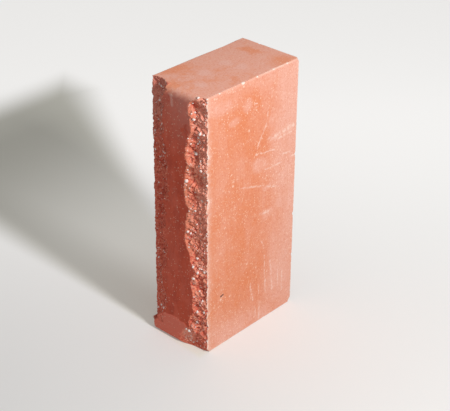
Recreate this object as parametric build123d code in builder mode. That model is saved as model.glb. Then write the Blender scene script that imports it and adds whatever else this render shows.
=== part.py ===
from build123d import *
from math import copysign, hypot, sqrt
import os

# A hyper-pressed facing brick with a rock-faced stretcher, stood on one header end.
# It is one pressed block. X runs from bed to bed, Y from the rock face to the smooth stretcher,
# and Z from the header end that it stands on to the other one. The origin is the foot's centre.
# The rock face has a smooth strip down its middle. Along each bed its arris has been knocked off
# in one long even break, and long hollow spalls and short shell-shaped bites run in beyond it. At
# the foot a smooth lip of the pressed face is left between the two breaks.

# Driving dimensions, in millimetres
LENGTH = 250.0
WIDTH = 120.0
THICKNESS = 65.0

# The mould turns the rock face into the upper header and into the foot on these radii.
HEAD_ROUND = 7.0
FOOT_ROUND = 4.0

# Handling has rubbed the sharp arrises down to this radius.
ARRIS_WEAR = 0.6

# Each long even break starts at a share of the brick's length and runs out through the upper
# header. Then come how far it runs in over the rock face, how deep it goes on the bed and how
# hollow it is below the straight line between those two.
NEAR_BREAK = (-0.04, 11.0, 5.3, 1.6)
FAR_BREAK = (0.043, 15.0, 7.1, 1.8)

# Each spall and each bite is a line, from the foot up. Its middle and its reach up and down the
# arris are shares of the brick's length. Then come the same sizes over the face and down the bed
# and, for a spall, how hollow it is.
NEAR_SPALLS = [
    (0.236, 0.156, 14.6, 5.4, 2.0),
    (0.484, 0.148, 21.6, 5.4, 2.8),
    (0.664, 0.124, 21.8, 5.7, 3.0),
    (0.872, 0.160, 14.6, 5.3, 2.1),
]
NEAR_BITES = [
    (0.004, 0.088, 30.2, 5.6),
    (0.108, 0.056, 18.0, 5.7),
    (0.272, 0.052, 17.0, 5.8),
    (0.384, 0.048, 17.4, 5.6),
    (0.456, 0.056, 22.8, 5.7),
    (0.532, 0.056, 21.4, 5.4),
    (0.624, 0.060, 23.0, 5.9),
    (0.692, 0.036, 21.6, 5.6),
    (0.784, 0.044, 21.4, 5.7),
    (0.832, 0.032, 18.0, 5.5),
    (0.896, 0.036, 15.6, 5.5),
    (0.952, 0.036, 17.2, 5.6),
]
FAR_SPALLS = [
    (0.152, 0.116, 18.0, 7.3, 1.9),
    (0.380, 0.120, 19.0, 7.4, 2.2),
    (0.660, 0.156, 22.6, 7.5, 2.5),
    (0.900, 0.170, 19.0, 7.4, 2.0),
]
FAR_BITES = [
    (-0.024, 0.080, 6.0, 6.0),
    (0.164, 0.056, 20.0, 7.5),
    (0.316, 0.052, 19.6, 7.6),
    (0.372, 0.056, 22.0, 7.6),
    (0.472, 0.048, 19.2, 7.5),
    (0.524, 0.044, 19.0, 7.4),
    (0.612, 0.060, 24.0, 7.8),
    (0.696, 0.056, 23.8, 7.7),
    (0.764, 0.044, 22.4, 7.5),
    (0.836, 0.044, 19.6, 7.4),
    (0.924, 0.048, 19.6, 7.6),
    (0.992, 0.052, 23.0, 7.8),
]

# Knocked corners: their sides on X, Y and Z, and the break's runs along the arrises on X, Y and Z.
KNOCKED_CORNERS = [
    (1, -1, -1, 14.0, 8.6, 9.0),
    (1, 1, -1, 2.6, 3.8, 5.2),
    (1, 1, 1, 2.2, 2.8, 3.4),
]

# A corner's break is this many times as wide across as it runs along its longest arris.
CORNER_FLATNESS = 1.6


def struck_ball(corner, runs, reach):
    """Return the centre and radius of the ball whose hollow breaks away what is at the corner.

    Its rim crosses each axis at that axis's signed run from the corner. An axis whose run is
    zero is an arris that the break lies across, and the rim crosses it at reach on both sides.
    """
    centre = [(run**2 - reach**2) / (2 * run) if run else 0 for run in runs]
    radius = sqrt(reach**2 + sum(part**2 for part in centre))
    return corner + Vector(*centre), radius


def struck_arc(arris, over_face, down_bed, hollow):
    """Return the centre and radius of the arc that a break's section follows from face to bed.

    over_face is signed along X. The directions across the break and into the brick come with them.
    """
    chord = hypot(over_face, down_bed)
    radius = chord**2 / (8 * hollow) + hollow / 2
    across = Vector(over_face, -down_bed, 0) / chord
    inward = Vector(copysign(down_bed, over_face), abs(over_face), 0) / chord
    centre = arris + Vector(over_face, down_bed, 0) / 2 - inward * (radius - hollow)
    return centre, radius, across, inward


def struck_ring(arris, over_face, down_bed, hollow, reach):
    """Return the plane, ring radius and tube radius of the ring whose outside leaves a long spall.

    The tube has the radius of the spall's section. The ring bends the spall up to the arris at
    reach above and below its middle.
    """
    centre, tube, across, inward = struck_arc(arris, over_face, down_bed, hollow)
    to_arris = arris - centre
    height = to_arris.dot(inward)
    crest = sqrt(tube**2 - to_arris.dot(across) ** 2)
    ring = (reach**2 / (crest - height) - crest - height) / 2
    return Plane(origin=centre - inward * ring, x_dir=-inward, z_dir=across), ring, tube


with BuildPart() as brick:
    with BuildSketch(Plane.YZ) as outline:
        with Locations((0, LENGTH / 2)):
            Rectangle(WIDTH, LENGTH)
        fillet(outline.vertices().group_by(Axis.X)[0].sort_by(Axis.Y)[-1], HEAD_ROUND)
        fillet(outline.vertices().group_by(Axis.X)[0].sort_by(Axis.Y)[0], FOOT_ROUND)
    extrude(amount=THICKNESS / 2, both=True)
    back_corners = brick.edges().filter_by(Axis.X).group_by(Axis.Y)[-1]
    bed_arrises = brick.faces().filter_by(Axis.X).edges()
    fillet(bed_arrises + back_corners, ARRIS_WEAR)
    arrises = ((1, NEAR_BREAK, NEAR_SPALLS, NEAR_BITES), (-1, FAR_BREAK, FAR_SPALLS, FAR_BITES))
    for side, (start, over_face, down_bed, hollow), spalls, bites in arrises:
        arris = Vector(side * THICKNESS / 2, -WIDTH / 2, start * LENGTH)
        centre, radius = struck_arc(arris, -side * over_face, down_bed, hollow)[:2]
        with Locations(centre):
            upward = (Align.CENTER, Align.CENTER, Align.MIN)
            Cylinder(radius, 2 * LENGTH, align=upward, mode=Mode.SUBTRACT)
        for middle, reach, over_face, down_bed, hollow in spalls:
            arris = Vector(side * THICKNESS / 2, -WIDTH / 2, middle * LENGTH)
            plane, ring, tube = struck_ring(arris, -side * over_face, down_bed, hollow, reach * LENGTH)
            with Locations(plane):
                Torus(ring, tube, mode=Mode.SUBTRACT)
        for middle, reach, over_face, down_bed in bites:
            arris = Vector(side * THICKNESS / 2, -WIDTH / 2, middle * LENGTH)
            centre, radius = struck_ball(arris, (-side * over_face, down_bed, 0), reach * LENGTH)
            with Locations(centre):
                Sphere(radius, mode=Mode.SUBTRACT)
    for side_x, side_y, side_z, run_x, run_y, run_z in KNOCKED_CORNERS:
        header = LENGTH if side_z > 0 else 0
        corner = Vector(side_x * THICKNESS / 2, side_y * WIDTH / 2, header)
        runs = (-side_x * run_x, -side_y * run_y, -side_z * run_z)
        centre, radius = struck_ball(corner, runs, CORNER_FLATNESS * max(run_x, run_y, run_z))
        with Locations(centre):
            Sphere(radius, mode=Mode.SUBTRACT)
brick.part.label = "brick"

os.makedirs("parts", exist_ok=True)
export_step(brick.part, "parts/brick.step")
print("brick", brick.part.bounding_box(), "volume", round(brick.part.volume))
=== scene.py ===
# %% [markdown]
# # A hyper-pressed brick
# The brick is one block of crushed stone, pigment and cement, squeezed so hard in a steel mould that
# it needs no firing. Its two beds, its headers and its back stretcher are smooth. The stretcher that
# faces out of the wall is rock-faced: both of its bed arrises have been knocked off with a blade,
# and a strip of the pressed skin is left between the two breaks.
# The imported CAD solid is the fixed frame, so every piece here is measured from it.

import math
import random

import bmesh
import bpy
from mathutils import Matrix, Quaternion, Vector, bvhtree, noise


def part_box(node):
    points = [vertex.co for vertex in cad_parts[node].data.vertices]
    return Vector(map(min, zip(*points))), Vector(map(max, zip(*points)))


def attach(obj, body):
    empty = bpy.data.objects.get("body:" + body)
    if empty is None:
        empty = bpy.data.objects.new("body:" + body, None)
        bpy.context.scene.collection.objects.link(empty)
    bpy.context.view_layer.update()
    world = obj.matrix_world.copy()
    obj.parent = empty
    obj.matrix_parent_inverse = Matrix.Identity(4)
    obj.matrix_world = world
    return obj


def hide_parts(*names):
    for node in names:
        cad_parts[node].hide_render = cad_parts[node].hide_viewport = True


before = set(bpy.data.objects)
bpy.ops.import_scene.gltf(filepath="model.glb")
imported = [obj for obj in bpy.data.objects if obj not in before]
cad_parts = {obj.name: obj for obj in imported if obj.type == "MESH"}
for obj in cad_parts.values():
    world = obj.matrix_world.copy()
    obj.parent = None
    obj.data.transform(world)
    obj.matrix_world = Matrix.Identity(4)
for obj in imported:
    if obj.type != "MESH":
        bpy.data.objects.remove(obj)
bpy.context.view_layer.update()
cad_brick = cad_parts["brick"]
low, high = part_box("brick")
MM = 0.001
thickness, width, length = high - low
print("brick", [round(side / MM, 1) for side in (thickness, width, length)], "mm")

# Without a seed, Blender's random vectors differ from run to run.
NOISE_SEED = 4
noise.seed_set(NOISE_SEED)

# %% [markdown]
# ## The camera
# The picture was taken from above the corner between the rock face and one bed. A pinhole camera
# fitted to the brick's straight edges gives its place, its turn and its lens. All of them are real
# sizes, so the view stays the same at any size of image.

# %% Stand the camera where the photographer stood
CAMERA_PLACE = Vector((668.1, -729.5, 685.1)) * MM
CAMERA_LOOKS_ALONG = Vector((-0.5843, 0.6405, -0.4984))
CAMERA_ROLL = math.radians(0.454)
LENS_MM = 102.4
SENSOR_MM = 36.0


def add_object(name, data):
    """Put an object with this data into the scene."""
    thing = bpy.data.objects.new(name, data)
    bpy.context.scene.collection.objects.link(thing)
    return thing


def stand_camera():
    data = bpy.data.cameras.new("camera")
    data.lens, data.sensor_width, data.sensor_fit = LENS_MM, SENSOR_MM, "HORIZONTAL"
    camera = add_object("camera", data)
    camera.location = CAMERA_PLACE
    camera.rotation_mode = "QUATERNION"
    level = CAMERA_LOOKS_ALONG.to_track_quat("-Z", "Y")
    camera.rotation_quaternion = level @ Quaternion((0, 0, 1), CAMERA_ROLL)
    bpy.context.scene.camera = camera
    return camera


camera = stand_camera()
print("camera", round((camera.location - (low + high) / 2).length, 3), "m from the brick's middle")

# %% [markdown]
# ## The light
# One lamp behind a small diffuser stands on the right, above the brick and only just in front of the
# rock face. It rakes over that face, so only the broken slopes that turn towards it catch light. The
# outline of the shadow on the floor gave its direction. An even, pale sky fills the shade.

# %% Set the lamp and the sky
LAMP_PLACE = Vector((667.0, -106.0, 632.0)) * MM
LAMP_ACROSS = 0.115
LAMP_WATTS = 5.3
SKY_STRENGTH = 0.38


def hang_lamp():
    data = bpy.data.lights.new("key_lamp", "AREA")
    data.shape, data.size, data.energy = "DISK", LAMP_ACROSS, LAMP_WATTS
    lamp = add_object("key_lamp", data)
    lamp.location = LAMP_PLACE
    lamp.rotation_euler = ((low + high) / 2 - LAMP_PLACE).to_track_quat("-Z", "Y").to_euler()


def spread_sky():
    world = bpy.data.worlds.new("pale_sky")
    world.use_nodes = True
    sky = world.node_tree.nodes["Background"]
    sky.inputs["Color"].default_value = (1.0, 1.0, 1.0, 1.0)
    sky.inputs["Strength"].default_value = SKY_STRENGTH
    bpy.context.scene.world = world


hang_lamp()
spread_sky()
bpy.context.scene.view_settings.view_transform = "Standard"
print("lamp", round((LAMP_PLACE - (low + high) / 2).length, 3), "m from the brick's middle")

# %% [markdown]
# ## Small tools for materials
# A material is a tree of nodes. These helpers add one node and wire it in one line, so that the
# lines below read like a recipe. A group keeps an effect that more than one material uses.

# %% Helpers that add and wire nodes


def add_node(tree, kind, wires=None, **settings):
    """Add a node. wires gives each input a value, or the socket that feeds it."""
    node = tree.nodes.new(kind)
    for name, value in settings.items():
        setattr(node, name, value)
    for name, value in (wires or {}).items():
        if isinstance(value, bpy.types.NodeSocket):
            tree.links.new(value, node.inputs[name])
        else:
            node.inputs[name].default_value = value
    return node


def calculate(tree, operation, first, second, clamp=False):
    """Work out one number for each point of the surface."""
    wires = {0: first, 1: second}
    return add_node(tree, "ShaderNodeMath", wires, operation=operation, use_clamp=clamp).outputs[0]


def plus(tree, first, second):
    return calculate(tree, "ADD", first, second)


def minus(tree, first, second):
    return calculate(tree, "SUBTRACT", first, second)


def times(tree, first, second):
    return calculate(tree, "MULTIPLY", first, second)


def ramp(tree, value, start, end, top=1.0):
    """Rise smoothly from 0 at start to top at end. An end below start turns the slope round."""
    wires = {"Value": value, "From Min": start, "From Max": end, "To Min": 0.0, "To Max": top}
    return add_node(tree, "ShaderNodeMapRange", wires, interpolation_type="SMOOTHSTEP").outputs[0]


def strongest(tree, masks):
    """Where any of the masks is 1, the result is 1."""
    most = 0.0
    for mask in masks:
        most = calculate(tree, "MAXIMUM", most, mask)
    return most


def smallest(tree, least, *others):
    for other in others:
        least = calculate(tree, "MINIMUM", least, other)
    return least


def lay_over(tree, mask, under, over, mode="MIX"):
    """Lay one colour over another where the mask is 1."""
    node = add_node(tree, "ShaderNodeMix", {0: mask, 6: under, 7: over}, data_type="RGBA")
    node.blend_type = mode
    return node.outputs[2]


def lay_all(tree, under, layers):
    """Lay a list of masks and their colours over one another, the first at the bottom."""
    for mask, over in layers:
        under = lay_over(tree, mask, under, over)
    return under


def colour(red, green, blue):
    return (red, green, blue, 1.0)


def attribute(tree, name):
    return add_node(tree, "ShaderNodeAttribute", attribute_name=name).outputs["Fac"]


def vector_math(tree, operation, first, second):
    return add_node(tree, "ShaderNodeVectorMath", {0: first, 1: second}, operation=operation).outputs


def scale_vector(tree, vector, amount):
    wires = {0: vector, "Scale": amount}
    return add_node(tree, "ShaderNodeVectorMath", wires, operation="SCALE").outputs[0]


def axes_of(tree, vector):
    """Split a vector into its X, Y and Z."""
    return add_node(tree, "ShaderNodeSeparateXYZ", {"Vector": vector}).outputs


def object_place(tree):
    return add_node(tree, "ShaderNodeTexCoord").outputs["Object"]


def start_group(name, inputs, outputs):
    """Make an empty group and return its tree, its input sockets and its output node."""
    tree = bpy.data.node_groups.new(name, "ShaderNodeTree")
    for socket, kind, value in inputs:
        made = tree.interface.new_socket(socket, in_out="INPUT", socket_type="NodeSocket" + kind)
        made.default_value = value
    for socket, kind in outputs:
        tree.interface.new_socket(socket, in_out="OUTPUT", socket_type="NodeSocket" + kind)
    return tree, tree.nodes.new("NodeGroupInput").outputs, tree.nodes.new("NodeGroupOutput")


def use_group(tree, group, **values):
    """Place a group in a tree. A value's name is the socket's, with _ for each space."""
    wires = {name.replace("_", " "): value for name, value in values.items()}
    return add_node(tree, "ShaderNodeGroup", wires, node_tree=group).outputs


def mask_of(tree, group, **values):
    return use_group(tree, group, **values)["Mask"]


def start_material(name, roughness):
    """Make a material and return its tree and its shader."""
    material = bpy.data.materials.new(name)
    material.use_nodes = True
    shader = material.node_tree.nodes["Principled BSDF"]
    shader.inputs["Roughness"].default_value = roughness
    return material, material.node_tree, shader


# %% [markdown]
# ## The floor
# The brick stands on a sheet of pale paper. In the picture the paper sweeps up behind it, and goes
# from cream in front to nearly white behind. Here it lies flat, and to the camera it glows a little,
# more with the distance behind the brick. Paper that rises also cuts the shadow short, so no lamp
# throws the picture's shadow on a flat floor. The lamp throws its own, and the rest is painted: inside
# a painted shadow outline the paper hardly glows and is painted a yellower grey, and in the middle
# of that shadow a painted bounce light makes it a little paler.

# %% Work out where the painted shadow lies
FLOOR_ACROSS = 12.0
PAPER_COLOUR = colour(0.70, 0.69, 0.675)
# Inside the painted shadow the paper is painted a yellower grey.
PAPER_PAINTED_SHADE = colour(0.72, 0.705, 0.62)
GLOW_COLOUR = colour(1.0, 0.99, 0.975)
TOWARDS_THE_BACK = Vector((-0.674, 0.739, 0.0))
GLOW_IN_FRONT, GLOW_BEHIND = 0.10, 0.50
GLOW_STARTS, GLOW_ENDS = -0.25, 0.48
# Painted bounce light in the painted shadow: its most, its least, and where along X and Y it grows.
PAINTED_BOUNCE, LEAST_PAINTED_BOUNCE = 0.25, 0.02
PAINTED_BOUNCE_ALONG = (-0.43, -0.14)
PAINTED_BOUNCE_ACROSS = (-0.035, 0.03)
# The painted shadow's tip, a point on its back edge, how far before the tip it ends blunt, and how soft its
# edge is.
PAINTED_SHADOW_TIP = Vector((-500.0, 260.0, 0.0)) * MM
PAINTED_SHADOW_BACK = Vector((-185.0, 90.0, 0.0)) * MM
PAINTED_SHADOW_BLUNTS = 0.02
PENUMBRA = 0.075
SHARPEST_EDGE = 3 * MM


def cast_on_floor(corner):
    """Where the lamp throws the shadow of a point of the brick."""
    return LAMP_PLACE + (corner - LAMP_PLACE) * LAMP_PLACE.z / (LAMP_PLACE.z - corner.z)


def inside_of(tree, place, start, end):
    """How far a point of the floor lies to the left of the line from start to end."""
    run = (end - start).normalized()
    left = Vector((-run.y, run.x, 0.0))
    across = vector_math(tree, "DOT_PRODUCT", place, left)["Value"]
    return minus(tree, across, start.dot(left))


def paint_shadow_mask(tree, place):
    """Mask the painted shadow on the floor. Its edge softens as it runs away."""
    foot = Vector((low.x, low.y, 0.0))
    front_tip = cast_on_floor(Vector((low.x, low.y, high.z)))
    axes = axes_of(tree, place)
    front = inside_of(tree, place, front_tip, foot)
    back = inside_of(tree, place, PAINTED_SHADOW_BACK, PAINTED_SHADOW_TIP)
    blunt = minus(tree, PAINTED_SHADOW_TIP.y - PAINTED_SHADOW_BLUNTS, axes["Y"])
    far = minus(tree, axes["X"], PAINTED_SHADOW_TIP.x)
    near = minus(tree, high.x, axes["X"])
    inside = smallest(tree, front, back, blunt, far, near)
    soft = calculate(tree, "MAXIMUM", times(tree, axes["X"], -PENUMBRA), SHARPEST_EDGE)
    return ramp(tree, inside, times(tree, soft, -1.0), soft)


def painted_bounce_in_shade(tree, place):
    """Painted bounce light that pales the painted shadow, most where it nears the brick."""
    axes = axes_of(tree, place)
    along = ramp(tree, axes["X"], *PAINTED_BOUNCE_ALONG, PAINTED_BOUNCE)
    across = plus(tree, ramp(tree, axes["Y"], *PAINTED_BOUNCE_ACROSS, 0.5), 0.5)
    return plus(tree, times(tree, along, across), LEAST_PAINTED_BOUNCE)


# %% Lay the floor


def lay_floor():
    mesh = bpy.data.meshes.new("floor")
    bm = bmesh.new()
    bmesh.ops.create_grid(bm, x_segments=1, y_segments=1, size=FLOOR_ACROSS / 2)
    bm.to_mesh(mesh)
    bm.free()
    floor = add_object("floor", mesh)
    paper, tree, shader = start_material("pale_paper", 0.9)
    shader.inputs["Emission Color"].default_value = GLOW_COLOUR
    place = object_place(tree)
    behind = vector_math(tree, "DOT_PRODUCT", place, TOWARDS_THE_BACK)["Value"]
    glow = ramp(tree, behind, GLOW_STARTS, GLOW_ENDS, GLOW_BEHIND - GLOW_IN_FRONT)
    glow = plus(tree, glow, GLOW_IN_FRONT)
    # Painted shadow: inside its outline the glow is cut and the paper painted a yellower grey.
    shade = paint_shadow_mask(tree, place)
    glow = times(tree, glow, minus(tree, 1.0, shade))
    # Painted bounce light pales the painted shadow.
    glow = plus(tree, glow, times(tree, painted_bounce_in_shade(tree, place), shade))
    sheet = lay_over(tree, shade, PAPER_COLOUR, PAPER_PAINTED_SHADE)
    tree.links.new(sheet, shader.inputs["Base Color"])
    seen = add_node(tree, "ShaderNodeLightPath").outputs["Is Camera Ray"]
    tree.links.new(times(tree, seen, glow), shader.inputs["Emission Strength"])
    mesh.materials.append(paper)


lay_floor()
print("floor", FLOOR_ACROSS, "m across, the lamp's shadow ends at x", round(cast_on_floor(high).x / MM), "mm")

# %% [markdown]
# ## The rock face
# The breaks are the heart of this brick, so the rock face gets most of the points. A fine grid is
# laid over the pressed face and bent round its two radiused ends. Each point is then sunk straight
# inwards until it meets the CAD solid, which gives the spalls their true depth. Sampling the solid a
# little beside each point makes the edges of the breaks ragged.

# %% Measure how deep the solid lies under the pressed face
HEAD_ROUND = 7.0 * MM
FOOT_ROUND = 4.0 * MM
SKIN = 0.2 * MM
DEEPEST_RAY = 20 * MM
INWARDS = Vector((0, 1, 0))
ray_tree = bvhtree.BVHTree.FromObject(cad_brick, bpy.context.evaluated_depsgraph_get())
head_arc, foot_arc = HEAD_ROUND * math.pi / 2, FOOT_ROUND * math.pi / 2
face_run = foot_arc + length - FOOT_ROUND - HEAD_ROUND + head_arc


def on_pressed_face(x, along):
    """The point and the outward normal of the pressed face, from the foot's round to the top's."""
    along = max(0.0, min(face_run, along))
    if foot_arc <= along <= face_run - head_arc:
        return Vector((x, low.y, along - foot_arc + FOOT_ROUND)), Vector((0, -1, 0))
    upward, radius = (-1, FOOT_ROUND) if along < foot_arc else (1, HEAD_ROUND)
    turn = min(along, face_run - along) / radius
    normal = Vector((0, -math.sin(turn), upward * math.cos(turn)))
    centre = Vector((x, low.y + radius, radius if upward < 0 else high.z - radius))
    return centre + normal * radius, normal


def unrolled(along):
    """The height on the pressed face as if its two rounds were rolled out flat, in millimetres."""
    return (along - foot_arc + FOOT_ROUND) / MM


def break_depth(x, along):
    """How far the breaks go in behind the pressed face here."""
    point = on_pressed_face(max(low.x + SKIN, min(high.x - SKIN, x)), along)[0]
    point.z = max(SKIN, min(high.z - SKIN, point.z))
    distance = ray_tree.ray_cast(point - INWARDS * MM, INWARDS, DEEPEST_RAY)[3]
    return 0.0 if distance is None else max(0.0, distance - MM)


print("pressed face", round(face_run / MM, 1), "mm along its skin, with its two rounds")

# %% [markdown]
# The fresh break is not smooth. It runs round the grains of crushed stone, so it is made of small
# tilted facets, with domes where a grain stands out and cups where one has been torn away. Voronoi
# cells give both: each cell is one facet or one grain, and its own random vector tilts or lifts it.
# Beside the visible bed the larger facets lean towards it, most of all in the upper half.

# %% The relief of a fresh break
# Each size of facet has its width in millimetres, its tilt and its seed.
LONG_FACETS = (6.0, 0.20, 11.0)
WIDE_FACETS = (2.8, 0.52, 5.0)
SMALL_FACETS = (1.4, 0.38, 3.0)
GRAIN_ACROSS = 1.6
GRAIN_LIFT = 0.17
LEANS_FROM, LEANS_FULLY = 17.0, 25.0
LEAN, MORE_LEAN_ABOVE = 0.18, 0.22
LEANS_MORE_AT = (100.0, 170.0)


def rise(start, end, value):
    """Rise smoothly from 0 at start to 1 at end."""
    share = max(0.0, min(1.0, (value - start) / (end - start)))
    return share * share * (3 - 2 * share)


def tilted_facets(point, across, tilt, seed, lean=0.0):
    """The height, in millimetres, of facets that each tilt their own way, and all lean to the bed."""
    spot = point / across + Vector((seed, seed, seed))
    middle = noise.voronoi(spot)[1][0]
    slope = noise.noise_vector(middle * 7.3 + Vector((seed, 0, 0))) + Vector((lean, 0, 0))
    return 2 * tilt * across * slope.dot(spot - middle)


def stone_grains(point, across, lift):
    """The height, in millimetres, of grains that stand out and cups that they left."""
    spot = point / across
    distances, middles = noise.voronoi(spot)
    size = noise.noise(middles[0] * 5.1)
    return lift * 2.2 * size * max(0.0, 1 - (distances[0] / 0.55) ** 2)


def break_relief(point, depth):
    """The relief, in millimetres, of a break this deep. It is calmest where the break is shallow."""
    slanting = Vector((point.x + point.y, (point.x - point.y) * 0.55, 0.0)) * 0.75
    rough = 0.35 + 0.65 * rise(1.0, 3.4, depth + 1.2 * noise.noise(point / 9))
    lean = LEAN + MORE_LEAN_ABOVE * rise(*LEANS_MORE_AT, point.y)
    lean = rise(LEANS_FROM, LEANS_FULLY, point.x) * lean
    height = tilted_facets(slanting, *LONG_FACETS, 2 * lean)
    height += rough * tilted_facets(point, *WIDE_FACETS, lean)
    height += rough * tilted_facets(point, *SMALL_FACETS)
    height += rough * stone_grains(Vector((point.x, point.y, 3.0)), GRAIN_ACROSS, GRAIN_LIFT)
    height += rough * 0.45 * noise.fractal(point / 1.3, 0.8, 2.1, 3)
    return height


# %% [markdown]
# At the foot the pressed skin is untouched and stands a little proud: the mason's blade began just
# above it. Over the rest of the strip the skin has been rubbed by the blade's guide and lies lower.

# %% Where the lip at the foot ends
LIP_TOP = (
    (-32.5, 10.5), (-28.6, 13.5), (-24.6, 17.5), (-19.0, 22.0), (-15.3, 23.6), (-6.6, 25.4), (-1.6, 25.0),
    (3.8, 23.4), (8.7, 24.1), (15.0, 19.0), (32.5, 0.0),
)
RUBBED_AWAY = 0.4


def above_lip(x, z):
    """How far a point of the face lies above the lip's broken top, in millimetres."""
    for (x1, z1), (x2, z2) in zip(LIP_TOP, LIP_TOP[1:]):
        if x1 <= x <= x2:
            return z - z1 - (z2 - z1) * (x - x1) / (x2 - x1)
    return 0.0


def rubbed_strip(point):
    """How far the rubbed strip lies below the lip here, in millimetres."""
    gap = above_lip(point.x, point.y) + 0.4 * noise.noise(point / 1.8)
    ripple = 0.05 * noise.noise(Vector((point.x / 1.2, point.y / 9, 1.0)))
    ripple += 0.07 * noise.noise(point / 6)
    return (RUBBED_AWAY + ripple) * rise(-0.15, 0.3, gap)


# %% Lay the grid and sink it onto the solid
ROWS = 540
COLUMNS = 118
EVEN, CROWDED, CROWD_FROM = 0.7, 0.15, 0.12
# Each size of raggedness has its cells, how far it goes and its seed.
RAGGED = ((4.5, 1.7, 2.0), (1.6, 0.9, 9.0))
# Above this height the near break has a wall beside the strip, where it isn't deep yet.
WALL_HEIGHTS = (95.0, 135.0)
WALL_DEPTHS = (2.2, 4.4)


def spread_columns(share):
    """Put the columns closer together over the breaks than over the strip."""
    return EVEN * share + CROWDED * math.tanh(share / CROWD_FROM) / math.tanh(0.5 / CROWD_FROM)


def gone_astray(spot, inside):
    """How far beside a point the solid is sampled, in millimetres. It is less near both headers."""
    astray = Vector()
    for cell, far, seed in RAGGED:
        astray += noise.noise_vector(spot / cell + Vector((0, 0, seed))) * far
    return Vector((astray.x * (0.3 + 0.7 * inside), astray.y * inside, 0.0))


def kept_by_lip(spot):
    """How whole the lip's skin is over the far break. At the lip's own left end it is broken."""
    if spot.x >= 0:
        return 0.0
    under_lip = 1 - rise(-0.4, 1.4, above_lip(spot.x, spot.y) + 0.5 * noise.noise(spot / 2.0))
    return under_lip * rise(-28.5, -25.5, spot.x)


def lay_rock_face(bm):
    layers = bm.verts.layers.float
    names = ("broken", "front", "lip", "crest", "wall")
    broken, front, lip, crest, wall = (layers.new(name) for name in names)
    layers.new("worn")
    bmesh.ops.create_grid(bm, x_segments=COLUMNS, y_segments=ROWS, size=0.5)
    deepest = 0.0
    for vert in bm.verts:
        x = spread_columns(vert.co.x) * thickness
        along = (vert.co.y + 0.5) * face_run
        point, normal = on_pressed_face(x, along)
        spot = Vector((x / MM, unrolled(along), 0.0))
        inside = rise(0.0, 7.0, min(along, face_run - along) / MM)
        astray = gone_astray(spot, inside)
        kept = kept_by_lip(spot)
        beside = x + astray.x * MM
        depth = break_depth(beside, along + astray.y * MM) / MM * (1 - kept)
        below = break_depth(beside, min(along, face_run - head_arc)) / MM if x < 0 else 0.0
        relief = break_relief(spot, max(depth, below)) * rise(0.15, 1.5, max(depth, 0.7 * below))
        relief *= 0.35 + 0.65 * inside
        relief *= 1 - 0.45 * rise(27.0, 32.5, abs(spot.x))
        sunk = max(0.0, depth + relief)
        deepest = max(deepest, sunk)
        from_top = rise(0.2, 1.0, (face_run - along) / head_arc)
        rubbed = max(0.0, rubbed_strip(spot) * from_top - sunk)
        vert.co = point + (INWARDS * sunk - normal * rubbed) * MM
        vert[broken] = (1 - kept) * rise(0.03, 0.4, max(depth, below - 0.6))
        # The crest mask is used to paint shade into the hollows and highlights onto the crests.
        vert[crest] = rise(-0.9, 0.9, -relief)
        high_up = rise(*WALL_HEIGHTS, spot.y + 25 * noise.noise(spot / 14)) * rise(0.0, 4.0, spot.x)
        vert[wall] = high_up * (1 - rise(*WALL_DEPTHS, depth + 1.6 * noise.noise(spot / 5)))
        vert[front] = rise(0.35, 1.1, (face_run - along) / head_arc + 0.15 * noise.noise(spot / 4))
        vert[lip] = 1 - rise(-0.3, 0.3, above_lip(spot.x, spot.y) + 0.4 * noise.noise(spot / 1.8))
    return deepest


block_bm = bmesh.new()
deepest = lay_rock_face(block_bm)
print("rock face", len(block_bm.verts), "points, deepest", round(deepest, 1), "mm")

# %% [markdown]
# ## The smooth faces
# The rim of the rock face is drawn back to the back stretcher in rings, which makes the two beds and
# the two headers. Rings stand close together near an arris, where wear shows, and far apart on the
# flats. The blade has crushed the bed's edge along each break, so that edge is dented and powdery.

# %% Draw the beds and headers back in rings
RINGS_BEHIND_THE_BREAK = (0.35, 0.8, 1.5, 3.0, 6.0)
RINGS_BEFORE_THE_BACK = (60.0, 25.0, 9.0, 5.5, 3.8, 2.6, 1.7, 1.0, 0.5, 0.2, 0.0)
BACK_RINGS = (0.2, 0.5, 1.0, 1.7, 2.6, 3.8, 6.0)
DENT_FADES, POWDER_FADES = 0.45, 2.4


def crush_bed_edge(bm, verts, behind):
    """Dent the bed's edge this many millimetres behind the break, and mark its line of powder."""
    worn = bm.verts.layers.float["worn"]
    fade = math.exp(-behind / DENT_FADES)
    for vert in verts:
        if abs(vert.co.x) < high.x - 0.3 * MM:
            continue
        spot = vert.co / MM
        dent = 0.1 + 0.25 * noise.noise(spot / 2.4) + 0.7 * rise(0.35, 0.6, noise.noise(spot / 5.5))
        vert.co.x -= math.copysign(max(0.0, dent) * fade * MM, vert.co.x)
        powder = 0.95 + 0.9 * noise.noise(spot / 3.1)
        vert[worn] = max(0.0, min(1.0, powder * math.exp(-behind / POWDER_FADES)))


def next_ring(bm, edges):
    """Draw one more ring out of these edges. Return its edges and its points."""
    made = bmesh.ops.extrude_edge_only(bm, edges=edges)["geom"]
    edges = [part for part in made if isinstance(part, bmesh.types.BMEdge) and part.is_boundary]
    return edges, [part for part in made if isinstance(part, bmesh.types.BMVert)]


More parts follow.
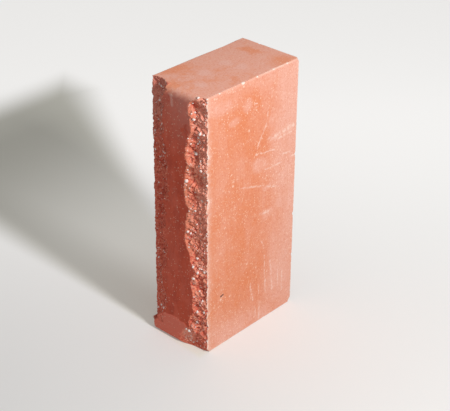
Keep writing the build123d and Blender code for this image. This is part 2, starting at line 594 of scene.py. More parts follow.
def draw_back(bm):
    layers = bm.verts.layers.float
    begin, broken, front = layers.new("begin"), layers["broken"], layers["front"]
    edges = [edge for edge in bm.edges if edge.is_boundary]
    rim = {vert for edge in edges for vert in edge.verts}
    for vert in rim:
        vert[begin] = vert.co.y
    rock_faces = list(bm.faces)
    places = [(behind, None) for behind in RINGS_BEHIND_THE_BREAK]
    places += [(None, before) for before in RINGS_BEFORE_THE_BACK]
    rings = [(0.0, rim)]
    for behind, before in places:
        edges, ring = next_ring(bm, edges)
        for vert in ring:
            vert.co.y = vert[begin] + behind * MM if before is None else high.y - before * MM
            vert[broken] = vert[front] = 0.0
        if before is None:
            rings.append((behind, ring))
    for behind, ring in rings:
        crush_bed_edge(bm, ring, behind)
    layers.remove(begin)
    return edges, rock_faces


def close_back(bm, edges):
    """Step the last ring in over the back stretcher and close it."""
    middle = (low + high) / 2
    done = 0.0
    for inset in BACK_RINGS:
        edges, ring = next_ring(bm, edges)
        for half, axis in ((thickness / 2, 0), (length / 2, 2)):
            shrink = (half - inset * MM) / (half - done)
            for vert in ring:
                vert.co[axis] = middle[axis] + (vert.co[axis] - middle[axis]) * shrink
        done = inset * MM
    bmesh.ops.contextual_create(bm, geom=edges)


rim_edges, rock_faces = draw_back(block_bm)
close_back(block_bm, rim_edges)
for face in rock_faces:
    face.material_index = 1
print("block", len(block_bm.verts), "points,", len(rock_faces), "faces on the rock face")

# %% [markdown]
# ## Worn arrises and corners
# Every arris has been rubbed and knocked on the way from the press. The CAD solid holds a small
# radius on each, and three knocked corners. Points near an arris are moved inwards until they meet
# the solid, and then a little further by noise, with deeper chips at the places where the picture
# shows them.

# %% Rub the arrises
NEAR_AN_ARRIS = 5.5 * MM
# Each chip has its place and its size, all in millimetres.
CHIPS = (
    (32.5, -53.8, 250.0, 1.2), (32.5, -39.9, 250.0, 1.1), (32.5, -11.7, 250.0, 1.7), (32.5, 5.9, 250.0, 1.2),
    (32.5, 26.6, 250.0, 1.2), (32.5, 44.3, 250.0, 1.1), (32.5, 60.0, 157.5, 1.0),
    (32.5, 21.0, 0.0, 1.0), (-32.5, -20.0, 250.0, 1.1), (32.5, 60.0, 96.0, 1.3),
)


def rub_arrises(bm):
    worn = bm.verts.layers.float["worn"]
    broken = bm.verts.layers.float["broken"]
    core_low, core_high = low + Vector([NEAR_AN_ARRIS] * 3), high - Vector([NEAR_AN_ARRIS] * 3)
    moved = 0
    rock = {vert for face in rock_faces for vert in face.verts}
    for vert in bm.verts:
        if vert in rock:
            continue
        place = vert.co.copy()
        core = Vector([max(core_low[i], min(core_high[i], place[i])) for i in range(3)])
        core.y = min(core_high.y, place.y)
        outward = place - core
        reach = sorted(abs(part) for part in outward)
        if reach[1] < 0.2 * MM:
            continue
        outward.normalize()
        found = ray_tree.ray_cast(place + outward * MM, -outward, 12 * MM)
        depth = 0.0 if found[0] is None else max(0.0, found[3] - MM)
        closeness = rise(NEAR_AN_ARRIS / MM - 2.2, NEAR_AN_ARRIS / MM - 0.2, reach[1] / MM)
        spot = place / MM
        knock = 0.04 + 0.14 * noise.noise(spot / 1.6) + 0.5 * rise(0.35, 0.6, noise.noise(spot / 4.5))
        for x, y, z, size in CHIPS:
            knock += size * math.exp(-(spot - Vector((x, y, z))).length_squared / (1.1 * size) ** 2)
        extra = max(0.0, knock) * closeness
        vert.co = place - outward * (depth + extra * MM)
        vert[broken] = rise(0.75, 1.4, depth / MM)
        by_the_bed = 0.25 if place.x > 0 and place.z > high.z / 2 else 0.0
        powder = closeness * max(0.0, 0.35 + by_the_bed + 0.9 * noise.noise(spot / 2.7) + 0.4 * extra)
        vert[worn] = min(1.0, max(vert[worn], powder))
        moved += 1
    return moved


moved = rub_arrises(block_bm)
bmesh.ops.recalc_face_normals(block_bm, faces=block_bm.faces)
print("rubbed", moved, "points")

# %% Turn the block into an object


def finish_piece(bm, name):
    """Turn a finished bmesh into an object that rides on the brick's body."""
    mesh = bpy.data.meshes.new(name)
    bm.to_mesh(mesh)
    bm.free()
    mesh.shade_smooth()
    piece = add_object(name, mesh)
    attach(piece, "root")
    mesh.calc_loop_triangles()
    print(name, len(mesh.vertices), "points", len(mesh.loop_triangles), "triangles")
    return piece


block_tree = bvhtree.BVHTree.FromBMesh(block_bm)
block = finish_piece(block_bm, "pressed_block")
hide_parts("brick")

# %% [markdown]
# ## Grains of stone
# Pale grains of limestone stand out of the breaks, where the clay round them has gone. They are real
# little stones here, not paint, so they catch the light and throw shadows. Each is a ball of a few
# dozen faces, knocked out of round, and sunk into the surface. The largest lie where the picture shows
# them: each is noted on the pressed face and dropped from there along the camera's line of sight.
# The rest are sown by chance, in crowds.

# %% Say where the largest grains lie
GRAIN_COUNT = 560
BIG_GRAIN_SWELL = 1.45
BIG_GRAIN_SUNK, SMALL_GRAIN_SUNK = 0.1, 0.3
SHALLOWEST_SEAT, DEEPEST_SEAT = 0.7 * MM, 12 * MM
# Each large grain has its X and Z on the pressed face and its size, in millimetres.
BIG_GRAINS = (
    (27.7, 251.1, 0.85), (21.8, 244.8, 0.7), (24.1, 237.2, 0.8), (22.4, 230.3, 0.9), (19.8, 234.5, 0.6),
    (29.5, 219.8, 1.0), (33.5, 220.1, 0.85), (27.8, 216.0, 0.75), (29.1, 212.9, 0.85), (25.5, 200.8, 1.4),
    (16.0, 211.0, 0.6), (26.9, 210.0, 0.7), (30.1, 194.9, 0.75), (28.8, 190.0, 0.75), (30.0, 185.7, 0.95),
    (13.3, 170.4, 0.95), (15.2, 181.7, 0.6), (18.9, 207.1, 0.6), (34.1, 185.4, 0.65), (34.7, 181.8, 0.65),
    (24.1, 145.8, 0.8), (13.4, 135.1, 0.7), (14.6, 121.6, 0.8), (18.4, 121.5, 0.7), (15.8, 106.5, 0.7),
    (25.6, 99.3, 0.9), (20.6, 88.4, 0.8), (33.9, 89.6, 1.0), (26.2, 85.2, 0.9), (21.2, 76.9, 0.85),
    (28.3, 67.0, 0.75), (31.8, 58.1, 0.75), (25.6, 44.0, 1.0), (33.9, 47.3, 0.75), (18.2, 59.2, 0.7),
    (11.8, 19.3, 1.05), (15.7, 19.0, 0.95), (32.0, 157.7, 0.7), (-15.9, 235.7, 0.9), (-13.9, 248.6, 0.7),
    (-22.3, 205.4, 0.7), (-17.7, 217.3, 0.6), (-22.3, 187.6, 0.75), (-14.0, 113.1, 0.7), (-19.0, 31.0, 0.8),
    (-22.8, 26.6, 0.7), (-16.0, 28.5, 0.65),
)
# Along the visible bed's edge only the height is given.
EDGE_GRAIN_X, EDGE_GRAIN_SIZE = 31.9, 0.75
EDGE_GRAINS = (251.0, 246.5, 195.7, 191.5, 170.4, 156.0, 124.0, 112.0, 86.0, 70.4, 64.9, 54.5, 25.6, 12.0)

# %% Make the stones


def make_ball():
    """One round ball of a few dozen faces, as the stock that every stone is knocked from."""
    mesh = bpy.data.meshes.new("ball")
    bm = bmesh.new()
    bmesh.ops.create_uvsphere(bm, u_segments=7, v_segments=5, radius=1.0)
    bm.to_mesh(mesh)
    bm.free()
    return mesh


ball = make_ball()


def make_stone(bm, rng, centre, radius):
    """Add one ball, knock it out of round and return its points."""
    bm.from_mesh(ball)
    bm.verts.ensure_lookup_table()
    stone = bm.verts[-len(ball.vertices):]
    stretch = Vector([rng.uniform(0.7, 1.25) for _ in range(3)]) * radius
    seed = Vector([rng.uniform(-99, 99) for _ in range(3)])
    for vert in stone:
        lump = 1 + 0.55 * noise.noise(vert.co * 0.9 + seed)
        vert.co = vert.co * stretch * lump + centre
        vert.co = Vector([max(low[i], min(high[i], vert.co[i])) for i in range(3)])
    return stone


def sow_grains():
    rng = random.Random(7)
    bm = bmesh.new()
    tone = bm.verts.layers.float.new("tone")
    wanted = [(EDGE_GRAIN_X, z, EDGE_GRAIN_SIZE, 1.0) for z in EDGE_GRAINS]
    while len(wanted) < GRAIN_COUNT:
        x = rng.uniform(-high.x, high.x) / MM
        along = rng.uniform(0, face_run)
        crowd = noise.noise(Vector((x, unrolled(along), 40.0)) / 7)
        if crowd > rng.uniform(-0.4, 0.3) and break_depth(x * MM, along) > SHALLOWEST_SEAT:
            size = 0.36 + 0.62 * rng.random() ** 2.5
            wanted.append((x, unrolled(along), size, rng.random()))
    sights = []
    for x, z, size in BIG_GRAINS:
        sight = Vector((x * MM, low.y, z * MM)) - camera.location
        size *= BIG_GRAIN_SWELL
        sights.append((camera.location, sight.normalized(), size, 1.0, BIG_GRAIN_SUNK))
    for x, z, size, pale in wanted:
        point = on_pressed_face(x * MM, z * MM - FOOT_ROUND + foot_arc)[0]
        sights.append((point - INWARDS * MM, INWARDS, size, pale, SMALL_GRAIN_SUNK))
    for eye, sight, size, pale, sunk in sights:
        spot, facing = block_tree.ray_cast(eye, sight)[:2]
        if spot is None or not SHALLOWEST_SEAT < spot.y - low.y < DEEPEST_SEAT:
            continue
        for vert in make_stone(bm, rng, spot - facing * size * sunk * MM, size * MM):
            vert[tone] = pale
    return bm


grain_bm = sow_grains()
grains = finish_piece(grain_bm, "limestone_grains")

# %% [markdown]
# ## The pressed skin
# The smooth faces are one even clay colour, with fine pale specks where sand grains touch the mould
# and pin-prick pits. The same skin covers the rock face's strip, only darker and redder, partly as
# painted shade, since the lamp only grazes that face. So the specks and pits are one group, which
# both clays use.

# %% Group: specks, pits and fine mottling
# Speck cells per metre, with the share of a cell that the largest speck covers.
SPECK_CELLS = ((210.0, 0.21), (340.0, 0.27), (520.0, 0.36))
PIT_CELLS, BIGGEST_PIT = 260.0, 0.2


def cells_of(tree, place, scale):
    """Split space into cells. Return the distance to each cell's middle and its own random colour."""
    cells = add_node(tree, "ShaderNodeTexVoronoi", {"Vector": place, "Scale": scale}).outputs
    return cells["Distance"], add_node(tree, "ShaderNodeSeparateColor", {"Color": cells["Color"]}).outputs


def clouds_of(tree, place, scale, detail=3.0):
    wires = {"Vector": place, "Scale": scale, "Detail": detail, "Roughness": 0.6}
    return add_node(tree, "ShaderNodeTexNoise", wires).outputs["Fac"]


def make_fine_grain():
    tree, given, out = start_group(
        "fine_grain",
        [("Speck Amount", "Float", 0.5), ("Pit Amount", "Float", 0.3)],
        [("Specks", "Float"), ("Pits", "Float"), ("Mottle", "Float"), ("Height", "Float")],
    )
    place = object_place(tree)
    rare = minus(tree, 1.0, given["Speck Amount"])
    masks = []
    for scale, biggest in SPECK_CELLS:
        distance, chance = cells_of(tree, place, scale)
        rim = times(tree, ramp(tree, chance["Red"], rare, 1.05), biggest)
        masks.append(ramp(tree, distance, rim, times(tree, rim, 0.45)))
    specks = strongest(tree, masks)
    distance, chance = cells_of(tree, place, PIT_CELLS)
    rare = minus(tree, 1.0, given["Pit Amount"])
    rim = times(tree, ramp(tree, chance["Green"], rare, 1.02), BIGGEST_PIT)
    pits = ramp(tree, distance, rim, times(tree, rim, 0.3))
    mottle = clouds_of(tree, place, 620.0, 4.0)
    height = minus(tree, times(tree, mottle, 0.5), pits)
    for name, socket in (("Specks", specks), ("Pits", pits), ("Mottle", mottle), ("Height", height)):
        tree.links.new(socket, out.inputs[name])
    return tree


fine_grain = make_fine_grain()

# %% Group: streaky dust
# Lime dust lies in clouds. Where the brick was wiped or pushed along, the clouds are drawn out.


def make_dust():
    tree, given, out = start_group(
        "dust",
        [("Across", "Float", 0.03), ("Cover", "Float", 0.5), ("Stretch", "Vector", (1.0, 1.0, 1.0))],
        [("Mask", "Float")],
    )
    place = vector_math(tree, "MULTIPLY", object_place(tree), given["Stretch"])[0]
    scale = calculate(tree, "DIVIDE", 1.0, given["Across"])
    wide = times(tree, clouds_of(tree, place, scale), 0.7)
    fine = times(tree, clouds_of(tree, place, times(tree, scale, 6.0)), 0.3)
    edge = minus(tree, 0.7, times(tree, given["Cover"], 0.4))
    both = minus(tree, plus(tree, wide, fine), edge)
    tree.links.new(ramp(tree, both, -0.1, 0.1), out.inputs["Mask"])
    return tree


dust = make_dust()

# %% [markdown]
# Some marks have a place of their own: a cloud, a fleck of stone or a scratch. Each is the distance
# from a spot or from a line, turned into a soft mask. Their outlines are uneven, because the place is
# first pushed about by noise, which is worked out once for all marks of one kind.

# %% Groups: a spot and a stroke
NOWHERE = (0.0, 0.0, 0.0)


def shaken_place(tree, scale, far):
    """The object's own place, pushed about by noise."""
    place = object_place(tree)
    wires = {"Vector": place, "Scale": scale, "Detail": 3.0}
    push = add_node(tree, "ShaderNodeTexNoise", wires).outputs["Color"]
    push = vector_math(tree, "SUBTRACT", push, (0.5, 0.5, 0.5))[0]
    return vector_math(tree, "ADD", place, scale_vector(tree, push, far))[0]


def make_spot():
    tree, given, out = start_group(
        "spot",
        [("Place", "Vector", NOWHERE), ("Centre", "Vector", NOWHERE), ("Size", "Vector", (1.0, 1.0, 1.0))],
        [("Mask", "Float")],
    )
    away = vector_math(tree, "SUBTRACT", given["Place"], given["Centre"])[0]
    share = vector_math(tree, "DIVIDE", away, given["Size"])[0]
    distance = add_node(tree, "ShaderNodeVectorMath", {0: share}, operation="LENGTH").outputs["Value"]
    tree.links.new(ramp(tree, distance, 1.0, 0.3), out.inputs["Mask"])
    return tree


def make_stroke():
    inputs = [("Place", "Vector", NOWHERE), ("From", "Vector", NOWHERE)]
    inputs += [("To", "Vector", (0.0, 0.0, 1.0)), ("Width", "Float", 0.001)]
    tree, given, out = start_group("stroke", inputs, [("Mask", "Float")])
    run = vector_math(tree, "SUBTRACT", given["To"], given["From"])[0]
    away = vector_math(tree, "SUBTRACT", given["Place"], given["From"])[0]
    along = vector_math(tree, "DOT_PRODUCT", away, run)["Value"]
    share = calculate(tree, "DIVIDE", along, vector_math(tree, "DOT_PRODUCT", run, run)["Value"], clamp=True)
    distance = vector_math(tree, "DISTANCE", away, scale_vector(tree, run, share))["Value"]
    core = times(tree, given["Width"], 0.1)
    tree.links.new(ramp(tree, distance, given["Width"], core), out.inputs["Mask"])
    return tree


spot_mask, stroke_mask = make_spot(), make_stroke()
print("groups", [group.name for group in bpy.data.node_groups])

# %% [markdown]
# ## Finish of the smooth faces
# The bed is orange where it is bare, down its middle, and salmon pink where lime has bloomed, most of
# all along its edges. Scratches from other bricks show paler than the clay, because they crush it to
# powder. The header is dusty all over, since it has faced upwards in the stack.

# %% Colours of the clay
BARE_CLAY = colour(0.735, 0.238, 0.105)
BLOOMED_CLAY = colour(0.81, 0.42, 0.32)
HEADER_CLAY = colour(0.86, 0.30, 0.145)
HEADER_DUST = colour(0.90, 0.49, 0.39)
POWDER = colour(0.92, 0.70, 0.60)
CHIPPED = colour(0.96, 0.84, 0.74)
SPECK = colour(0.94, 0.64, 0.48)
# The strip's clay is darker and redder than the bed's, partly as painted shade.
STRIP_CLAY_AND_SHADE = colour(0.555, 0.073, 0.028)
STRIP_STAIN = colour(0.40, 0.045, 0.020)
STRIP_DUST = colour(0.56, 0.24, 0.19)
LIP_CLAY = colour(0.72, 0.166, 0.106)
BREAK_DUST = colour(0.68, 0.275, 0.212)
FRESH_CLAY = colour(0.95, 0.31, 0.18)
WALL_CLAY = colour(0.70, 0.23, 0.135)
# Pale crumbs, also painted light on slopes that the lamp misses.
PALE_CRUMBS_AND_LIGHT = colour(0.99, 0.405, 0.285)
# Dark red clay, also used as painted shade in hollows and on the far break.
DEEP_CLAY_AND_SHADE = colour(0.64, 0.105, 0.064)
# Crushed clay, also a painted highlight on crests.
CRUSHED_CLAY_AND_HIGHLIGHT = colour(0.93, 0.46, 0.34)
SOOT = colour(0.03, 0.025, 0.025)

# %% Say where the marks on the bed and the header lie
# A scratch has its start, its end and its width. A cloud has its middle, its width and its height,
# and a fleck its middle and its size. On the bed a place is its Y and Z, in millimetres.
BED_SCRATCHES = (
    (55.1, 187.6, 24.1, 185.3, 3.0), (52.4, 182.4, 31.6, 181.9, 1.5), (30.2, 172.8, 6.1, 176.5, 1.2),
    (51.3, 162.8, 40.0, 164.3, 1.1), (40.3, 156.5, 18.6, 157.5, 1.1), (37.7, 133.5, 20.2, 140.0, 1.2),
    (16.4, 142.5, -4.1, 148.7, 1.1), (-4.1, 148.7, -14.8, 152.0, 1.0), (60.6, 157.3, 52.9, 158.2, 1.1),
    (21.1, 215.8, 19.0, 201.2, 1.3), (19.0, 201.2, 12.8, 192.2, 1.2), (12.8, 192.2, 7.9, 182.1, 1.1),
    (28.7, 59.3, 32.6, 26.7, 1.2), (22.6, 42.7, 23.2, 25.8, 1.0), (13.5, 40.3, 13.8, 30.8, 1.0),
    (14.9, 21.2, 14.6, 2.7, 1.3), (8.6, 18.6, 9.9, 8.1, 1.0), (3.9, 39.8, 5.6, 27.2, 1.0),
    (45.8, 42.5, 46.8, 19.1, 1.1), (-0.3, 226.7, 6.5, 225.4, 1.0), (1.5, 221.0, 6.0, 222.0, 0.9),
    (13.6, 114.7, 26.4, 113.1, 1.8), (20.7, 68.3, 22.0, 30.6, 0.8), (1.9, 48.0, 2.9, 29.6, 0.8),
    (39.8, 44.2, 40.6, 25.5, 0.8), (16.1, 85.4, 19.6, 77.6, 1.0),
)
BED_CLOUDS = (
    (-6.4, 228.1, 8.0, 9.0), (-20.6, 218.0, 9.0, 6.0), (24.9, 111.6, 14.0, 12.0), (40.5, 30.0, 34.0, 46.0),
    (12.7, 164.9, 16.0, 12.0), (5.8, 245.2, 10.0, 6.0), (30.0, 205.0, 12.0, 20.0), (-37.0, 236.0, 20.0, 12.0),
    (24.0, 140.0, 12.0, 5.0),
)
BED_FLECKS = (
    (-3.5, 202.8, 1.5), (5.8, 219.4, 1.2), (13.2, 220.5, 1.2), (2.9, 225.0, 1.1), (-25.0, 232.4, 1.1),
    (-30.9, 228.9, 1.0), (-10.3, 193.4, 1.0), (-30.5, 190.8, 1.0), (-24.9, 168.8, 1.1), (-23.1, 157.5, 1.8),
    (-27.8, 154.5, 1.0), (17.4, 180.7, 1.1), (22.0, 218.1, 1.2), (13.5, 189.7, 1.0), (-3.5, 70.4, 1.2),
    (24.2, 49.9, 1.1), (-31.4, 6.8, 1.2), (-9.8, 26.8, 1.1), (24.4, 20.3, 1.1), (-37.4, 48.4, 2.0),
    (-25.9, 46.9, 1.4), (-45.8, 246.6, 1.3), (-11.1, 246.4, 1.5), (-24.0, 248.4, 1.1), (28.7, 236.4, 1.2),
    (-24.3, 169.1, 1.2), (-22.7, 161.6, 1.3),
)
SOOT_SPECK = (-37.4, 52.1, -34.2, 52.7, 1.2)
# On the upper header a place is its X and Y. These are its dustiest clouds and its barest patches.
HEADER_CLOUDS = (
    (-4.0, -18.0, 14.0, 12.0), (-6.0, 8.0, 13.0, 12.0), (9.0, 12.0, 13.0, 15.0), (10.0, -38.0, 13.0, 12.0),
)
HEADER_BARE = (
    (27.0, 46.0, 18.0, 17.0), (-8.0, 43.0, 15.0, 10.0), (-8.0, -53.0, 12.0, 8.0), (-27.0, -30.0, 9.0, 22.0),
)


def on_bed(y, z):
    """Turn a place on the visible bed, in millimetres, into a point in space."""
    return Vector((high.x, y * MM, z * MM))


# %% Cover the header with dust and the bed with bloom
# The header and the rock face's round share one dusty clay, so that they meet without a line.
HEADER_MARK_DEEP, BED_MARK_DEEP = 12.0, 9.0
# Each edge of the bed has its axis, where the bloom starts, where it is full, and how full it gets.
BED_EDGES = (
    ("Y", 0.006, 0.052, 1.0), ("Z", 0.040, -0.004, 0.85), ("Z", 0.222, 0.254, 0.75),
    ("Y", -0.050, -0.064, 0.6),
)
EDGE_BLOOM, CLOUD_BLOOM = 0.72, 0.75


def dusty_header(tree):
    patchy = mask_of(tree, dust, Across=0.022, Cover=0.7, Stretch=(1.0, 0.6, 1.0))
    speckled = mask_of(tree, dust, Across=0.004, Cover=0.6)
    place = shaken_place(tree, 90.0, 0.014)
    masks = [plus(tree, times(tree, patchy, 0.6), times(tree, speckled, 0.2))]
    bare = []
    for patches, found in ((HEADER_CLOUDS, masks), (HEADER_BARE, bare)):
        for x, y, wide, deep in patches:
            size = Vector((wide, deep, HEADER_MARK_DEEP)) * MM
            centre = Vector((x * MM, y * MM, high.z))
            found.append(mask_of(tree, spot_mask, Place=place, Centre=centre, Size=size))
    bare = minus(tree, 0.95, times(tree, strongest(tree, bare), 0.7))
    return lay_over(tree, times(tree, strongest(tree, masks), bare), HEADER_CLAY, HEADER_DUST)


def bloom_on_bed(tree):
    """Mask the lime bloom: it creeps in from every edge of the bed and lies in clouds on it."""
    axes = axes_of(tree, shaken_place(tree, 22.0, 0.035))
    masks = [ramp(tree, axes[axis], start, full, most) for axis, start, full, most in BED_EDGES]
    place = shaken_place(tree, 70.0, 0.012)
    for y, z, wide, tall in BED_CLOUDS:
        size = Vector((BED_MARK_DEEP, wide, tall)) * MM
        cloud = mask_of(tree, spot_mask, Place=place, Centre=on_bed(y, z), Size=size)
        masks.append(times(tree, cloud, CLOUD_BLOOM))
    streaks = mask_of(tree, dust, Across=0.014, Cover=0.5, Stretch=(1.0, 1.0, 0.35))
    patches = mask_of(tree, dust, Across=0.03, Cover=0.4)
    drift = plus(tree, times(tree, streaks, 0.22), times(tree, patches, 0.18))
    return calculate(tree, "ADD", times(tree, strongest(tree, masks), EDGE_BLOOM), drift, clamp=True)


# %% Material: the pressed faces
SCRATCH_SWELL, CHIP_SWELL = 1.3, 1.5
BUMP_HEIGHT = 0.12 * MM


def find_scratches(tree, place):
    """Mask the scratches on the bed. They skip, so noise breaks them up."""
    lines = []
    for y1, z1, y2, z2, wide in BED_SCRATCHES:
        ends = {"From": on_bed(y1, z1), "To": on_bed(y2, z2)}
        lines.append(mask_of(tree, stroke_mask, Place=place, **ends, Width=wide * SCRATCH_SWELL * MM))
    return times(tree, strongest(tree, lines), ramp(tree, clouds_of(tree, place, 240.0), 0.32, 0.66))


def find_flecks(tree, place, specks):
    """Mask the fine specks, which lie in crowds, and the larger flecks among them."""
    crowd = plus(tree, ramp(tree, clouds_of(tree, place, 45.0), 0.38, 0.62, 0.55), 0.4)
    flecks = [times(tree, specks, crowd)]
    for y, z, size in BED_FLECKS:
        across = Vector((size, size, size)) * MM
        flecks.append(mask_of(tree, spot_mask, Place=place, Centre=on_bed(y, z), Size=across))
    return strongest(tree, flecks)


def bump_surface(tree, shader, height, strength):
    wires = {"Height": height, "Strength": strength, "Distance": BUMP_HEIGHT}
    bump = add_node(tree, "ShaderNodeBump", wires)
    tree.links.new(bump.outputs["Normal"], shader.inputs["Normal"])


def make_pressed_clay():
    material, tree, shader = start_material("pressed_clay", 0.78)
    grain = use_group(tree, fine_grain, Speck_Amount=0.85, Pit_Amount=0.3)
    upright = axes_of(tree, add_node(tree, "ShaderNodeTexCoord").outputs["Normal"])["Z"]
    worn = attribute(tree, "worn")
    place = shaken_place(tree, 300.0, 0.0022)
    layers = [
        (bloom_on_bed(tree), BLOOMED_CLAY),
        (ramp(tree, upright, 0.6, 0.95), dusty_header(tree)),
        (times(tree, find_scratches(tree, place), 0.6), POWDER),
    ]
    for x, y, z, size in CHIPS:
        across = Vector((size, size, size)) * CHIP_SWELL * MM
        chip = mask_of(tree, spot_mask, Place=place, Centre=Vector((x, y, z)) * MM, Size=across)
        layers.append((times(tree, chip, 0.9), CHIPPED))
    layers.append((times(tree, find_flecks(tree, place, grain["Specks"]), 0.75), SPECK))
    layers.append((times(tree, grain["Pits"], 0.4), DEEP_CLAY_AND_SHADE))
    clay = lay_all(tree, BARE_CLAY, layers)
    clay = lay_over(tree, ramp(tree, grain["Mottle"], 0.45, 0.7, 0.35), clay, BARE_CLAY, "MULTIPLY")
    y1, z1, y2, z2, wide = SOOT_SPECK
    sooty = mask_of(tree, stroke_mask, Place=place, From=on_bed(y1, z1), To=on_bed(y2, z2), Width=wide * MM)
    clay = lay_all(tree, clay, [
        (times(tree, worn, 0.55), POWDER),
        (ramp(tree, worn, 0.75, 1.0, 0.4), CHIPPED),
        (sooty, SOOT),
    ])
    tree.links.new(clay, shader.inputs["Base Color"])
    bump_surface(tree, shader, grain["Height"], 0.6)
    return material


pressed_clay = make_pressed_clay()

# %% [markdown]
# ## Finish of the rock face
# The strip is dark red and smooth, partly as painted shade. Grey dust lies at its top, and a few
# pale streaks run down it. The lip at the foot never met the blade's guide, so it is lighter. The
# fresh break shows the inside of the mix: bright orange crumbs and pinkish powder where crumbs were
# crushed. Its hollows and its far side are darkened with painted shade, and its crests on the lit
# side and the slopes by the visible bed are lightened with painted light.

# %% Colour the strip and the lip
# Each streak has the X and Z of its start and of its end, and its width, in millimetres.
STRIP_STREAKS = ((-3.6, 243.0, -2.6, 235.0, 2.4), (-6.0, 244.0, -1.5, 243.6, 1.6))


def colour_strip(tree):
    axes = axes_of(tree, object_place(tree))
    stained = mask_of(tree, dust, Across=0.007, Cover=0.4, Stretch=(1.0, 1.0, 0.6))
    smeared = mask_of(tree, dust, Across=0.009, Cover=0.4, Stretch=(1.0, 1.0, 0.5))
    streaks = mask_of(tree, dust, Across=0.004, Cover=0.35, Stretch=(1.0, 1.0, 0.12))
    patchy = mask_of(tree, dust, Across=0.02, Cover=0.75)
    upper = times(tree, ramp(tree, axes["Z"], 0.185, 0.250), ramp(tree, axes["X"], -0.03, 0.012, 0.7))
    layers = [
        (times(tree, stained, 0.6), STRIP_STAIN),
        (times(tree, upper, patchy), STRIP_DUST),
        (times(tree, smeared, 0.28), LIP_CLAY),
        (times(tree, streaks, 0.07), STRIP_DUST),
    ]
    place = shaken_place(tree, 300.0, 0.002)
    for x1, z1, x2, z2, wide in STRIP_STREAKS:
        start, end = Vector((x1 * MM, low.y, z1 * MM)), Vector((x2 * MM, low.y, z2 * MM))
        streak = mask_of(tree, stroke_mask, Place=place, From=start, To=end, Width=wide * MM)
        layers.append((times(tree, streak, 0.3), POWDER))
    layers.append((attribute(tree, "lip"), LIP_CLAY))
    return lay_all(tree, STRIP_CLAY_AND_SHADE, layers)


# %% Colour the fresh break
# A patch of pale crumbs at the lip's right end, painted lighter as if its slope caught the lamp.
LIT_CRUMB_PATCH_MIDDLE = Vector((11.5, -57.0, 11.0)) * MM
LIT_CRUMB_PATCH_ACROSS = Vector((9.5, 12.0, 12.5)) * MM


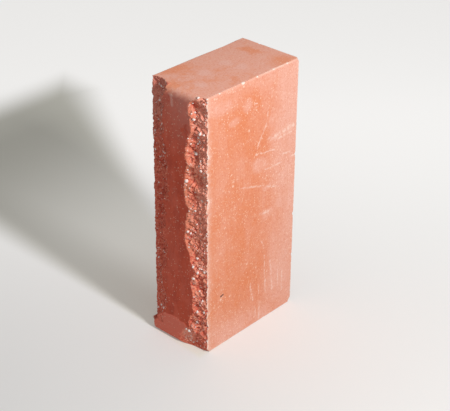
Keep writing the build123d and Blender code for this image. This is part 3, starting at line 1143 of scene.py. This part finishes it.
def colour_break(tree):
    """The colour of the fresh break, and the lumps that its bump is made of."""
    place = object_place(tree)
    axes = axes_of(tree, place)
    lumps = clouds_of(tree, place, 420.0, 5.0)
    distance, chance = cells_of(tree, place, 560.0)
    crest = attribute(tree, "crest")
    # Painted highlight: pale crests and glints are laid mostly on the side of the break facing the lamp.
    in_the_light = plus(tree, ramp(tree, axes["X"], -0.004, 0.008, 0.7), 0.3)
    far_side = ramp(tree, axes["X"], -0.008, -0.018)
    by_the_bed = ramp(tree, axes["X"], 0.017, 0.026, 0.72)
    shaken = shaken_place(tree, 300.0, 0.004)
    lit_crumb_patch = mask_of(tree, spot_mask, Place=shaken, Centre=LIT_CRUMB_PATCH_MIDDLE, Size=LIT_CRUMB_PATCH_ACROSS)
    glint = times(tree, ramp(tree, chance["Green"], 0.76, 0.82), ramp(tree, distance, 0.5, 0.3))
    clustered = times(tree, ramp(tree, clouds_of(tree, place, 110.0), 0.45, 0.6), in_the_light)
    clustered = calculate(tree, "MAXIMUM", clustered, lit_crumb_patch)
    fresh = lay_all(tree, DEEP_CLAY_AND_SHADE, [
        (ramp(tree, lumps, 0.40, 0.58), FRESH_CLAY),
        (ramp(tree, chance["Red"], 0.25, 0.12, 0.6), DEEP_CLAY_AND_SHADE),
        # Painted shade in the hollows.
        (ramp(tree, crest, 0.45, 0.05, 0.6), DEEP_CLAY_AND_SHADE),
        # Painted highlight on the crests, with crushed powder.
        (times(tree, ramp(tree, crest, 0.62, 0.95, 0.4), in_the_light), CRUSHED_CLAY_AND_HIGHLIGHT),
        # Painted shade on the far break, which turns away from the lamp.
        (times(tree, far_side, ramp(tree, axes["Z"], 0.235, 0.185, 0.52)), DEEP_CLAY_AND_SHADE),
        (ramp(tree, axes["Z"], 0.030, 0.010, 0.4), DEEP_CLAY_AND_SHADE),
        (times(tree, attribute(tree, "wall"), 0.85), WALL_CLAY),
        # Painted light on the slopes by the visible bed, which the lamp hardly reaches, with pale crumbs.
        (times(tree, by_the_bed, ramp(tree, axes["Z"], 0.07, 0.17)), PALE_CRUMBS_AND_LIGHT),
        (times(tree, far_side, ramp(tree, axes["Z"], 0.180, 0.230, 0.62)), BREAK_DUST),
        (times(tree, lit_crumb_patch, 0.7), PALE_CRUMBS_AND_LIGHT),
        (times(tree, times(tree, glint, clustered), 0.75), POWDER),
    ])
    return fresh, lumps


# %% Material: the rock face
LUMP_HEIGHT = 6.0


def make_rock_clay():
    material, tree, shader = start_material("rock_face_clay", 0.85)
    grain = use_group(tree, fine_grain, Speck_Amount=0.8, Pit_Amount=0.3)
    broken = attribute(tree, "broken")
    fresh, lumps = colour_break(tree)
    seen = minus(tree, 0.46, times(tree, broken, 0.21))
    clay = lay_all(tree, dusty_header(tree), [
        (attribute(tree, "front"), colour_strip(tree)),
        (broken, fresh),
        (ramp(tree, grain["Mottle"], 0.45, 0.7, 0.3), DEEP_CLAY_AND_SHADE),
        (times(tree, grain["Specks"], seen), SPECK),
        (times(tree, attribute(tree, "worn"), 0.9), POWDER),
    ])
    tree.links.new(clay, shader.inputs["Base Color"])
    rough = times(tree, times(tree, lumps, broken), LUMP_HEIGHT)
    bump_surface(tree, shader, plus(tree, grain["Height"], rough), 0.8)
    return material


rock_face_clay = make_rock_clay()
block.data.materials.append(pressed_clay)
block.data.materials.append(rock_face_clay)

# %% Material: the limestone grains
WHITE_STONE = colour(0.92, 0.82, 0.77)
DULL_STONE = colour(0.74, 0.44, 0.37)


def make_limestone():
    material, tree, shader = start_material("limestone", 0.6)
    cloudy = clouds_of(tree, object_place(tree), 900.0)
    stone = lay_over(tree, attribute(tree, "tone"), DULL_STONE, WHITE_STONE)
    stone = lay_over(tree, ramp(tree, cloudy, 0.5, 0.75, 0.6), stone, FRESH_CLAY)
    tree.links.new(stone, shader.inputs["Base Color"])
    return material


grains.data.materials.append(make_limestone())
print("materials", [material.name for material in bpy.data.materials])
